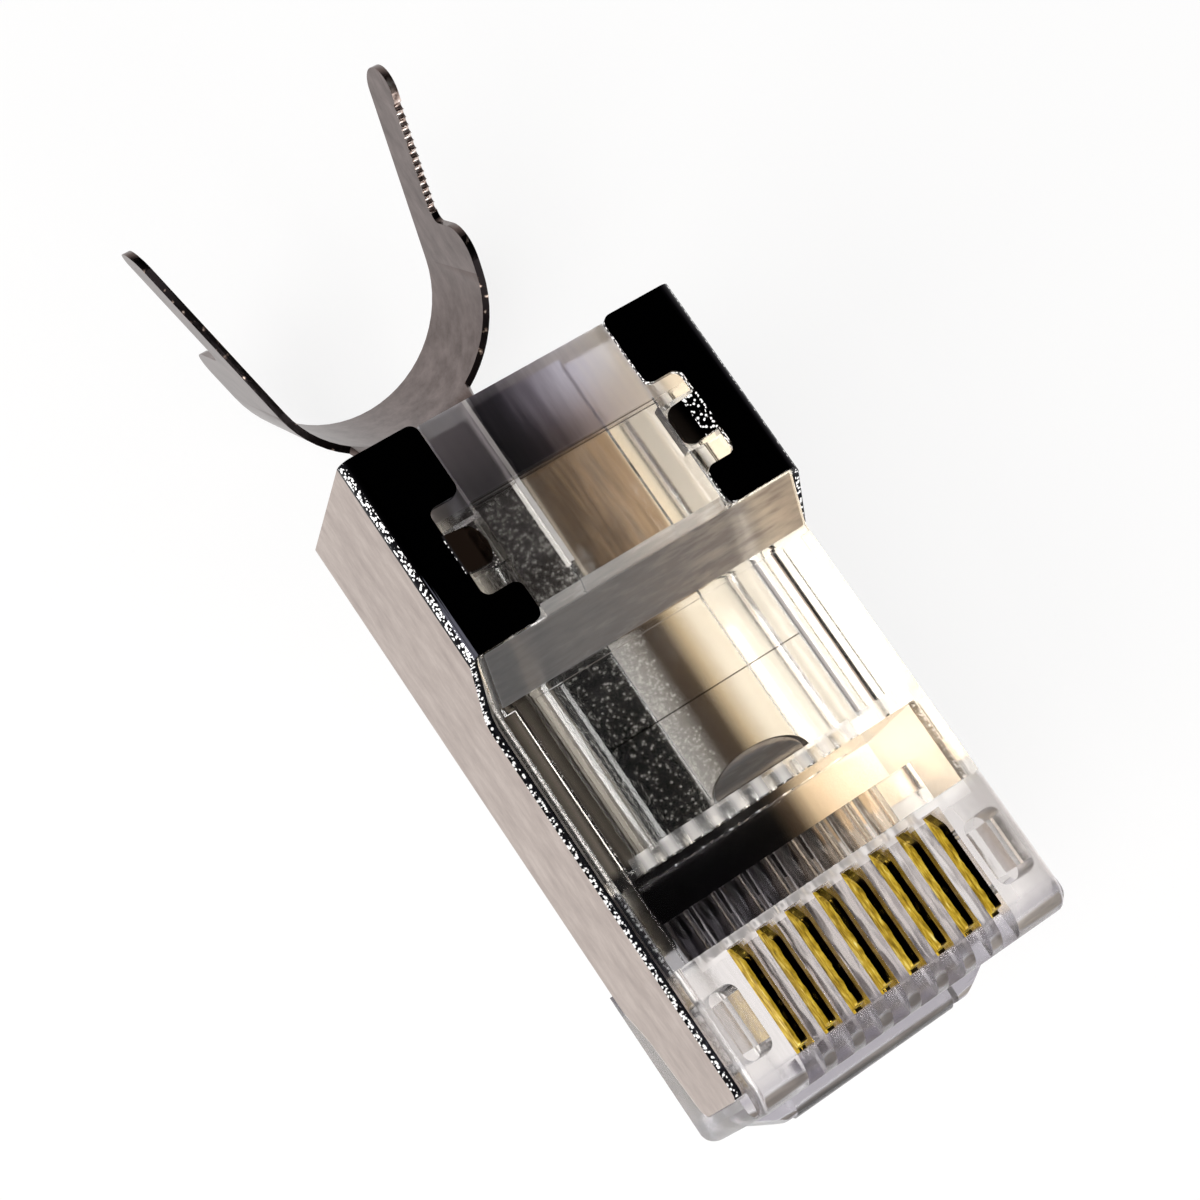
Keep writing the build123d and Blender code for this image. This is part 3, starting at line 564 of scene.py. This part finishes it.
brushed = node(tree, "ShaderNodeMapping", {
    "Vector": (place, "Object"), "Scale": (1.0, 0.06, 1.0)})
brush = node(tree, "ShaderNodeTexNoise", {
    "Vector": (brushed, 0), "Scale": per_metre(0.12), "Detail": 3.0})
brush_shift = node(tree, "ShaderNodeMapRange", {
    "Value": (brush, "Fac"), "To Min": -0.3, "To Max": 0.24})
rear_share = node(tree, "ShaderNodeMath", {0: (share, 0), 1: (brush_shift, 0)},
                  operation="ADD")
# painted reflection and shade: dark left, a pale line, brown, pale right
strip_painted_reflection = node(tree, "ShaderNodeValToRGB", {0: (share, 0)}, stops=[
    (0.0, "#4a4648"), (0.536, "#3e3b3d"), (0.541, "#e0d6ca"), (0.546, "#e0d6ca"),
    (0.550, "#857463"), (0.828, "#b39a7e"), (0.836, "#fff0d8"), (1.0, "#fff6e6")])
brushed_brown_reflection = node(tree, "ShaderNodeValToRGB", {0: (rear_share, 0)}, stops=[
    (0.50, "#5f5247"), (0.60, "#7c6a5a"), (0.72, "#a38a70"), (0.88, "#bfa586")])
from_line = node(tree, "ShaderNodeMath", {0: (share, 0), 1: brown_from},
                 operation="GREATER_THAN")
to_strip = node(tree, "ShaderNodeMath", {0: (share, 0), 1: brown_to}, operation="LESS_THAN")
middle = node(tree, "ShaderNodeMath", {0: (from_line, 0), 1: (to_strip, 0)},
              operation="MULTIPLY")
rear_painted_reflection = node(tree, "ShaderNodeMix", {
    0: (middle, 0), 6: (strip_painted_reflection, 0), 7: (brushed_brown_reflection, 0)}, data_type="RGBA")
rear = node(tree, "ShaderNodeMapRange", {
    "Value": (xyz, "Y"), "From Min": 15.2 * MM, "From Max": 16.2 * MM})
deck_painted_reflection = node(tree, "ShaderNodeMix", {
    0: (rear, 0), 6: (front_painted_reflection, 2), 7: (rear_painted_reflection, 2)}, data_type="RGBA")
print("brushed brown over", round(2 * deck_half * (brown_to - brown_from), 2), "mm")

# %% [markdown]
# ## Rolled pebbles and their painted glints
#
# The sheet was rolled with a pebbled face, and each pebble that tips the right way flashes.
# They could be modelled as thousands of bumps. A cell pattern is lighter: one cell to
# 0.085 mm, with a random draw for each cell. The cell gets a painted white glint where its
# draw is below the density of its place, which is high in the silver band and low beside it.
# First comes the density, as greys from none to all, with fewer pebbles towards the deck's
# rear end.

# %% Say where the pebbles are dense
density = node(tree, "ShaderNodeValToRGB", {0: (share, 0)}, stops=[
    (0.0, "#000000"), (0.14, "#000000"), (0.15, "#9c9c9c"), (0.480, "#8a8a8a"),
    (0.488, "#ffffff"), (0.55, "#d8d8d8"), (0.585, "#282828"), (0.62, "#000000")])
rear_density = node(tree, "ShaderNodeValToRGB", {0: (share, 0)}, stops=[
    (0.53, "#c8c8c8"), (0.545, "#000000")])
both_density = node(tree, "ShaderNodeMix", {
    0: (rear, 0), 6: (density, 0), 7: (rear_density, 0)}, data_type="RGBA")
rear_end = node(tree, "ShaderNodeMapRange", {
    "Value": (xyz, "Y"), "From Min": 19.5 * MM, "From Max": 21 * MM,
    "To Min": 1.0, "To Max": 0.0})
fewer = node(tree, "ShaderNodeMix", {0: (rear, 0), 2: 1.0, 3: (rear_end, 0)})
pebble_share = node(tree, "ShaderNodeMath", {0: (under_window, 0), 1: (fewer, 0)},
                    operation="MULTIPLY")
chance = node(tree, "ShaderNodeMath", {0: (both_density, 2), 1: (pebble_share, 0)},
              operation="MULTIPLY")
print("densest at a share of", round(density.color_ramp.elements[4].position, 3))

# %% Scatter the pebbles
pebble = 0.085

cells = node(tree, "ShaderNodeTexVoronoi", {
    "Vector": (place, "Object"), "Scale": per_metre(pebble)})
cell_draw = node(tree, "ShaderNodeSeparateColor", {0: (cells, "Color")})
spare = node(tree, "ShaderNodeMath", {0: (chance, 0), 1: (cell_draw, 0)},
             operation="SUBTRACT")
lit = node(tree, "ShaderNodeMapRange", {
    "Value": (spare, 0), "From Min": 0.0, "From Max": 0.12})
core = node(tree, "ShaderNodeMapRange", {
    "Value": (cells, "Distance"), "From Min": 0.44, "From Max": 0.3})
pebble_glint = node(tree, "ShaderNodeMath", {0: (lit, 0), 1: (core, 0)}, operation="MULTIPLY")
# painted glints: white specks over the deck's painted reflection
deck_colour = node(tree, "ShaderNodeMix", {
    0: (pebble_glint, 0), 6: (deck_painted_reflection, 2), 7: linear("#ffffff")}, data_type="RGBA")
print("about", round(1 / pebble ** 2), "pebbles to a square millimetre")

# %% [markdown]
# ## Walls, clip and flaps: painted reflection and shade over stains
#
# The walls' warm pinkish tone is a painted reflection of warm surroundings, lighter on the
# walls, and the clip is painted darker as shade. Noise that is drawn out along the plug makes
# both blotchy, as stains are. The painted light of the inner faces, the painted reflections of
# the deck and the dark painted reflection of the flaps go over it.

# %% Paint reflection and shade over stains on the sheet
smear = node(tree, "ShaderNodeMapping", {
    "Vector": (place, "Object"), "Scale": (1.0, 0.4, 1.0)})
stains = node(tree, "ShaderNodeTexNoise", {
    "Vector": (smear, 0), "Scale": per_metre(0.6), "Detail": 5.0, "Roughness": 0.7})
wall_reflection_and_stains = node(tree, "ShaderNodeValToRGB", {0: (stains, "Fac")}, stops=[
    (0.3, "#9d8c84"), (0.5, "#b0a097"), (0.7, "#c2b3aa")])
clip_shade_and_stains = node(tree, "ShaderNodeValToRGB", {0: (stains, "Fac")}, stops=[
    (0.3, "#5b504d"), (0.7, "#7f7370")])
outer_colour = node(tree, "ShaderNodeMix", {
    0: (clip_part, 0), 6: (wall_reflection_and_stains, 0), 7: (clip_shade_and_stains, 0)}, data_type="RGBA")
# painted light: the inner faces are a bright cream
with_inner_painted_light = node(tree, "ShaderNodeMix", {
    0: (inner, 0), 6: (outer_colour, 2), 7: linear("#fffaf2")}, data_type="RGBA")
with_deck = node(tree, "ShaderNodeMix", {
    0: (deck, 0), 6: (with_inner_painted_light, 2), 7: (deck_colour, 2)}, data_type="RGBA")
# painted reflection: the flaps are dark as the ceiling that they mirror
with_flap_reflection = node(tree, "ShaderNodeMix", {
    0: (flaps, 0), 6: (with_deck, 2), 7: linear("#38383c")}, data_type="RGBA")
print("wall tones:", len(wall_reflection_and_stains.color_ramp.elements))

# %% [markdown]
# ## The clip's cut edges
#
# Where the sheet was cut, its edge is painted dark as shade, with a painted glint here and
# there, and the teeth of the right wing are painted bright as highlights. An edge looks along
# the clip's own axis, which leans back and down, so its normal tells it from the faces. A
# height measured up the wings tells where the teeth start.

# %% Paint shade and glints on the cut edges
clip_axis = (0, 0.608761, -0.793353)
wing_axis = (0, 0.793353, 0.608761)
strip_bottom = 17.293
tooth_start = 5.9

edge_turn = node(tree, "ShaderNodeVectorMath", {0: (facing, "Normal"), 1: clip_axis},
                 operation="DOT_PRODUCT")
edge_facing = node(tree, "ShaderNodeMath", {0: (edge_turn, "Value")}, operation="ABSOLUTE")
edge_like = node(tree, "ShaderNodeMath", {0: (edge_facing, 0), 1: 0.7},
                 operation="GREATER_THAN")
clip_edge = node(tree, "ShaderNodeMath", {0: (edge_like, 0), 1: (clip_part, 0)},
                 operation="MULTIPLY")
tooth_noise = node(tree, "ShaderNodeTexNoise", {
    "Vector": (place, "Object"), "Scale": per_metre(0.3), "Detail": 2.0})
# painted shade with painted glints on the cut edges
edge_shade_and_glints = node(tree, "ShaderNodeValToRGB", {0: (tooth_noise, "Fac")}, stops=[
    (0.62, "#231f20"), (0.68, "#7a6a62"), (0.73, "#e8d6c8")])
# painted highlights on the teeth
tooth_highlight = node(tree, "ShaderNodeValToRGB", {0: (tooth_noise, "Fac")}, stops=[
    (0.35, "#6b5b55"), (0.5, "#d8c4ba"), (0.6, "#fff4ee")])
up_wing = node(tree, "ShaderNodeVectorMath", {0: (place, "Object"), 1: wing_axis},
               operation="DOT_PRODUCT")
tooth_high = node(tree, "ShaderNodeMath", {
    0: (up_wing, "Value"), 1: (strip_bottom + tooth_start) * MM}, operation="GREATER_THAN")
tooth_side = node(tree, "ShaderNodeMath", {0: (xyz, "X"), 1: 3.5 * MM},
                  operation="GREATER_THAN")
teeth = node(tree, "ShaderNodeMath", {0: (tooth_high, 0), 1: (tooth_side, 0)},
             operation="MULTIPLY")
tooth_painted_light = node(tree, "ShaderNodeMix", {
    0: (teeth, 0), 6: (edge_shade_and_glints, 0), 7: (tooth_highlight, 0)}, data_type="RGBA")
with_teeth = node(tree, "ShaderNodeMix", {
    0: (clip_edge, 0), 6: (with_flap_reflection, 2), 7: (tooth_painted_light, 2)}, data_type="RGBA")
print("the teeth start", tooth_start, "mm up the wing")

# %% [markdown]
# ## The barbs
#
# Each flap has a barb, cut free and pushed down into the plastic to hold the body. Its
# tilted metal is painted dark as shade, brown on the left and almost black on the right.

# %% Paint shade on the barbs
barb_middle, barb_half = 17.65, 0.7

side = node(tree, "ShaderNodeMath", {0: (xyz, "X")}, operation="ABSOLUTE")
barb_high = node(tree, "ShaderNodeMath", {0: (xyz, "Z"), 1: 5.5 * MM},
                 operation="GREATER_THAN")
barb_near = node(tree, "ShaderNodeMath", {0: (side, 0), 1: 4.46 * MM}, operation="LESS_THAN")
barb_run = node(tree, "ShaderNodeMath", {
    0: (xyz, "Y"), 1: barb_middle * MM, 2: barb_half * MM}, operation="COMPARE")
barb_band = node(tree, "ShaderNodeMath", {0: (barb_high, 0), 1: (barb_run, 0)},
                 operation="MULTIPLY")
barb = node(tree, "ShaderNodeMath", {0: (barb_band, 0), 1: (barb_near, 0)},
            operation="MULTIPLY")
barb_side = node(tree, "ShaderNodeMath", {0: (xyz, "X"), 1: 0.0}, operation="GREATER_THAN")
# painted shade: brown on the left barb, almost black on the right
barb_painted_shade = node(tree, "ShaderNodeMix", {
    0: (barb_side, 0), 6: linear("#2a211b"), 7: linear("#0d0a08")}, data_type="RGBA")
with_barbs = node(tree, "ShaderNodeMix", {
    0: (barb, 0), 6: (with_teeth, 2), 7: (barb_painted_shade, 2)}, data_type="RGBA")
print("barbs from", barb_middle - barb_half, "to", round(barb_middle + barb_half, 2), "mm")

# %% [markdown]
# ## Where the sheet glitters
#
# Bending roughens the plating. Along the left fold and the cut edges of the walls and
# flaps, the rough metal flashes as fine specks on a dark line, and so does the right barb.
# The dark line is a painted dark reflection and the specks are painted glints.
# The folds are found by the sum of side and height, which only the outer corners reach.

# %% Mask the folds
fold_reach, crest_reach = 12.94, 13.12

corner = node(tree, "ShaderNodeMath", {0: (side, 0), 1: (xyz, "Z")}, operation="ADD")
fold = node(tree, "ShaderNodeMath", {0: (corner, 0), 1: fold_reach * MM},
            operation="GREATER_THAN")
crest = node(tree, "ShaderNodeMath", {0: (corner, 0), 1: crest_reach * MM},
             operation="GREATER_THAN")
left_side = node(tree, "ShaderNodeMath", {0: (xyz, "X"), 1: 0.0}, operation="LESS_THAN")
fold_crest = node(tree, "ShaderNodeMath", {0: (crest, 0), 1: (left_side, 0)},
                  operation="MULTIPLY")
print("the glitter is", round(crest_reach - fold_reach, 2), "mm inside the dark fold")

# %% [markdown]
# The cut edges of the walls are the outermost faces that don't look sideways, and those of
# the flaps are the ones on top that don't look up. Masks by direction follow the edges round
# every corner, where a mask by place alone would need each corner's numbers.

# %% Mask the cut edges
edge_start = 1.6

sideways = node(tree, "ShaderNodeMath", {0: (looks, "X")}, operation="ABSOLUTE")
not_side = node(tree, "ShaderNodeMath", {0: (sideways, 0), 1: 0.8}, operation="LESS_THAN")
outermost = node(tree, "ShaderNodeMath", {0: (side, 0), 1: 5.58 * MM},
                 operation="GREATER_THAN")
above = node(tree, "ShaderNodeMath", {0: (xyz, "Z"), 1: edge_start * MM},
             operation="GREATER_THAN")
cut_edge = node(tree, "ShaderNodeMath", {0: (not_side, 0), 1: (outermost, 0)},
                operation="MULTIPLY")
cut_high = node(tree, "ShaderNodeMath", {0: (cut_edge, 0), 1: (above, 0)},
                operation="MULTIPLY")
edge_front = node(tree, "ShaderNodeMath", {0: (cut_high, 0), 1: (not_clip, 0)},
                  operation="MULTIPLY")
edge_outer = node(tree, "ShaderNodeMath", {0: (side, 0), 1: 5.7 * MM},
                  operation="GREATER_THAN")
edge_glitter = node(tree, "ShaderNodeMath", {0: (edge_front, 0), 1: (edge_outer, 0)},
                    operation="MULTIPLY")
on_top = node(tree, "ShaderNodeMath", {0: (xyz, "Z"), 1: 7.2 * MM}, operation="GREATER_THAN")
upright = node(tree, "ShaderNodeMath", {0: (looks, "Z"), 1: 0.6}, operation="LESS_THAN")
leftward = node(tree, "ShaderNodeMath", {0: (looks, "X"), 1: -0.1}, operation="LESS_THAN")
flap_cut = node(tree, "ShaderNodeMath", {0: (on_top, 0), 1: (upright, 0)},
                operation="MULTIPLY")
flap_glitter = node(tree, "ShaderNodeMath", {0: (flap_cut, 0), 1: (leftward, 0)},
                    operation="MULTIPLY")
along_edges = node(tree, "ShaderNodeMath", {0: (flap_glitter, 0), 1: (edge_glitter, 0)},
                   operation="MAXIMUM")
print("the walls' edges glitter from", edge_start, "mm up")

# %% Join the places that glitter
right_barb = node(tree, "ShaderNodeMath", {0: (xyz, "X"), 1: 4.0 * MM},
                  operation="GREATER_THAN")
barb_glitter = node(tree, "ShaderNodeMath", {0: (barb, 0), 1: (right_barb, 0)},
                    operation="MULTIPLY")
fold_and_barb = node(tree, "ShaderNodeMath", {0: (fold_crest, 0), 1: (barb_glitter, 0)},
                     operation="MAXIMUM")
glitter_place = node(tree, "ShaderNodeMath", {0: (fold_and_barb, 0), 1: (along_edges, 0)},
                     operation="MAXIMUM")
dark_reflection_place = node(tree, "ShaderNodeMath", {0: (fold, 0), 1: (edge_front, 0)},
                  operation="MAXIMUM")
print("the specks run along the edges, the left fold and the right barb")

# %% [markdown]
# ## The painted glints
#
# The specks are painted white glints, cells again, one to 0.075 mm, as coarse as the render
# needs to show them. About half of the cells flash on the left, where the lamp stands, and a
# third on the right.

# %% Scatter the glints
glint_size = 0.075

glint_cells = node(tree, "ShaderNodeTexVoronoi", {
    "Vector": (place, "Object"), "Scale": per_metre(glint_size)})
glint_draw = node(tree, "ShaderNodeSeparateColor", {0: (glint_cells, "Color")})
leftness = node(tree, "ShaderNodeMapRange", {
    "Value": (xyz, "X"), "From Min": -1 * MM, "From Max": 1 * MM,
    "To Min": 0.55, "To Max": 0.35})
glint_lit = node(tree, "ShaderNodeMath", {0: (glint_draw, 0), 1: (leftness, 0)},
                 operation="LESS_THAN")
glint_core = node(tree, "ShaderNodeMapRange", {
    "Value": (glint_cells, "Distance"), "From Min": 0.7, "From Max": 0.5})
glint = node(tree, "ShaderNodeMath", {0: (glint_lit, 0), 1: (glint_core, 0)},
             operation="MULTIPLY")
glint_here = node(tree, "ShaderNodeMath", {0: (glint, 0), 1: (glitter_place, 0)},
                  operation="MULTIPLY")
# painted dark reflection on the fold and the cut edges, with painted glints over it
fold_dark_reflection = node(tree, "ShaderNodeMix", {
    0: (dark_reflection_place, 0), 6: (with_barbs, 2), 7: linear("#1c1c20")}, data_type="RGBA")
sheet_colour = node(tree, "ShaderNodeMix", {
    0: (glint_here, 0), 6: (fold_dark_reflection, 2), 7: linear("#ffffff")}, data_type="RGBA")
print("glints of", glint_size, "mm")

# %% [markdown]
# ## The sheet put together
#
# Nickel is a metal everywhere, but a place whose light or reflection is painted on, such as
# the deck, an inner face or a glint, is nearly matt, or else the metal would mirror over the
# painted tone. The flaps are the smoothest, the walls and the clip are satin.

# %% Finish the nickel plate
pebbled = node(tree, "ShaderNodeBump", {
    "Height": (cells, "Distance"), "Strength": (deck, 0), "Distance": 0.006 * MM})
flap_rough = node(tree, "ShaderNodeMapRange", {
    "Value": (flaps, 0), "To Min": 0.28, "To Max": 0.04})
roughness = node(tree, "ShaderNodeMix", {0: (deck, 0), 2: (flap_rough, 0), 3: 0.3})
deck_satin = node(tree, "ShaderNodeMapRange", {
    "Value": (rear, 0), "To Min": 0.85, "To Max": 1.0})
deck_share = node(tree, "ShaderNodeMath", {0: (deck, 0), 1: (deck_satin, 0)},
                  operation="MULTIPLY")
painted = node(tree, "ShaderNodeMath", {0: (deck_share, 0), 1: (inner, 0)},
               operation="MAXIMUM")
diffuse_share = node(tree, "ShaderNodeMath", {0: (painted, 0), 1: (glint_here, 0)},
                     operation="MAXIMUM")
metallic = node(tree, "ShaderNodeMapRange", {
    "Value": (diffuse_share, 0), "To Min": 1.0, "To Max": 0.1})
sheen = node(tree, "ShaderNodeMapRange", {"Value": (deck, 0), "To Min": 0.5, "To Max": 0.1})
metal = node(tree, "ShaderNodeBsdfPrincipled", {
    "Base Color": (sheet_colour, 2), "Metallic": (metallic, 0), "Roughness": (roughness, 0),
    "Specular IOR Level": (sheen, 0), "Normal": (pebbled, 0)})
node(tree, "ShaderNodeOutputMaterial", {"Surface": (metal, 0)})
print("nickel plate made of", len(tree.nodes), "nodes")

# %% [markdown]
# ## Gold plate
#
# The contact blades are stamped from bronze and plated with hard gold. Stamping leaves burrs
# along the blade. They could be a bump alone, but under soft lamps a bump hardly shows, so
# their light and shade are painted into the gold's tone with the same noise, which is drawn
# out along the blade.

# %% Draw out the burrs
gold, tree = bare_material("hard_gold_plate")
place = node(tree, "ShaderNodeTexCoord")
facing = node(tree, "ShaderNodeNewGeometry")
looks = node(tree, "ShaderNodeSeparateXYZ", {0: (facing, "Normal")})
xyz = node(tree, "ShaderNodeSeparateXYZ", {0: (place, "Object")})
drawn = node(tree, "ShaderNodeMapping", {
    "Vector": (place, "Object"), "Scale": (1.0, 0.35, 1.0)})
burr = node(tree, "ShaderNodeTexNoise", {
    "Vector": (drawn, 0), "Scale": per_metre(0.15), "Detail": 3.0})
# the gold's tone with the burrs' light and shade painted in
tone = node(tree, "ShaderNodeValToRGB", {0: (burr, "Fac")}, stops=[
    (0.3, "#6f5a14"), (0.45, "#ad8f26"), (0.6, "#d8ba40"), (0.75, "#fbee96")])
print("the gold has", len(tone.color_ramp.elements), "tones")

# %% [markdown]
# ## The dark half of each blade
#
# The top of each blade mirrors the dark ceiling on its right half and a lamp on its left.
# The mirror alone gives that from one side only, so the dark half is painted on as a
# reflection, with painted glints in it.
# Where a point lies across its own blade comes from its place within the pitch.

# %% Paint a dark reflection on half of each top
pitch = 1.016

from_first = node(tree, "ShaderNodeMath", {0: (xyz, "X"), 1: 5 * pitch * MM}, operation="ADD")
in_pitch = node(tree, "ShaderNodeMath", {0: (from_first, 0), 1: pitch * MM},
                operation="MODULO")
off_centre = node(tree, "ShaderNodeMath", {0: (in_pitch, 0), 1: -pitch / 2 * MM},
                  operation="ADD")
ragged = node(tree, "ShaderNodeMath", {
    0: (burr, "Fac"), 1: 0.16 * MM, 2: (off_centre, 0)}, operation="MULTIPLY_ADD")
dark_half = node(tree, "ShaderNodeMapRange", {
    "Value": (ragged, 0), "From Min": 0.0 * MM, "From Max": 0.02 * MM})
level_face = node(tree, "ShaderNodeMapRange", {
    "Value": (looks, "Z"), "From Min": 0.5, "From Max": 0.8})
top = node(tree, "ShaderNodeMath", {0: (dark_half, 0), 1: (level_face, 0)},
           operation="MULTIPLY")
# painted reflection: a dark top with painted gold glints
top_painted_reflection = node(tree, "ShaderNodeValToRGB", {0: (burr, "Fac")}, stops=[
    (0.0, "#100c06"), (0.60, "#1c160a"), (0.66, "#e2c04e")])
print("a blade every", pitch, "mm")

# %% Finish the gold plate
colour = node(tree, "ShaderNodeMix", {
    0: (top, 0), 6: (tone, 0), 7: (top_painted_reflection, 0)}, data_type="RGBA")
burrs = node(tree, "ShaderNodeBump", {
    "Height": (burr, "Fac"), "Strength": 0.4, "Distance": 0.01 * MM})
satin = node(tree, "ShaderNodeMapRange", {"Value": (top, 0), "To Min": 0.2, "To Max": 1.0})
metal = node(tree, "ShaderNodeBsdfPrincipled", {
    "Base Color": (colour, 2), "Metallic": (satin, 0), "Roughness": 0.2, "Normal": (burrs, 0)})
node(tree, "ShaderNodeOutputMaterial", {"Surface": (metal, 0)})
print("gold plate made of", len(tree.nodes), "nodes")

# %% [markdown]
# ## Dress the nodes
#
# The plug is put together from three materials only, as in the factory: moulded
# polycarbonate, plated sheet and gold-plated blades. Each node could carry a material of its
# own, but parts that come out of the same process should look alike, so the three are shared.

# %% Give each node its finish
finishes = {"housing": polycarbonate, "latch_lever": polycarbonate, "shield": nickel}
for name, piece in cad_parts.items():
    piece.data.materials.clear()
    piece.data.materials.append(finishes.get(name, gold))
print({name: piece.data.materials[0].name for name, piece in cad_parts.items()})

# %% [markdown]
# ## Worn and moulded edges
#
# No real edge is perfectly sharp: the mould's corners are slightly round, and stamped sheet
# is tumbled after cutting. The rounds could be modelled in the solid, but they would swell
# the CAD for a few hundredths of a millimetre. A bevel that takes only edges over 35 degrees
# gives them here. Doubled points are welded first, and the normals are weighted by area
# afterwards, so that large faces stay flat and mirror cleanly.

# %% Round the sharp edges
edge_widths = {"housing": 0.05, "latch_lever": 0.08, "shield": 0.035}
blade_edge = 0.03
for name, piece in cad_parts.items():
    weld = piece.modifiers.new("weld", "WELD")
    weld.merge_threshold = 0.0005 * MM
    round_edges = piece.modifiers.new("round_edges", "BEVEL")
    round_edges.width = edge_widths.get(name, blade_edge) * MM
    round_edges.segments = 2
    round_edges.limit_method = "ANGLE"
    round_edges.angle_limit = math.radians(35)
    flat_faces = piece.modifiers.new("flat_faces", "WEIGHTED_NORMAL")
    flat_faces.keep_sharp = True
print("rounded the edges of", len(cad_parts), "pieces")

# %% [markdown]
# ## Size and finish
#
# Both boxes are written down: that of the solids at the start, and that of the dressed plug
# here.

# %% Write the sizes and finish
low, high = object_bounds()
print("visual box in mm:", [round(v / MM, 2) for v in (*low, *high)])
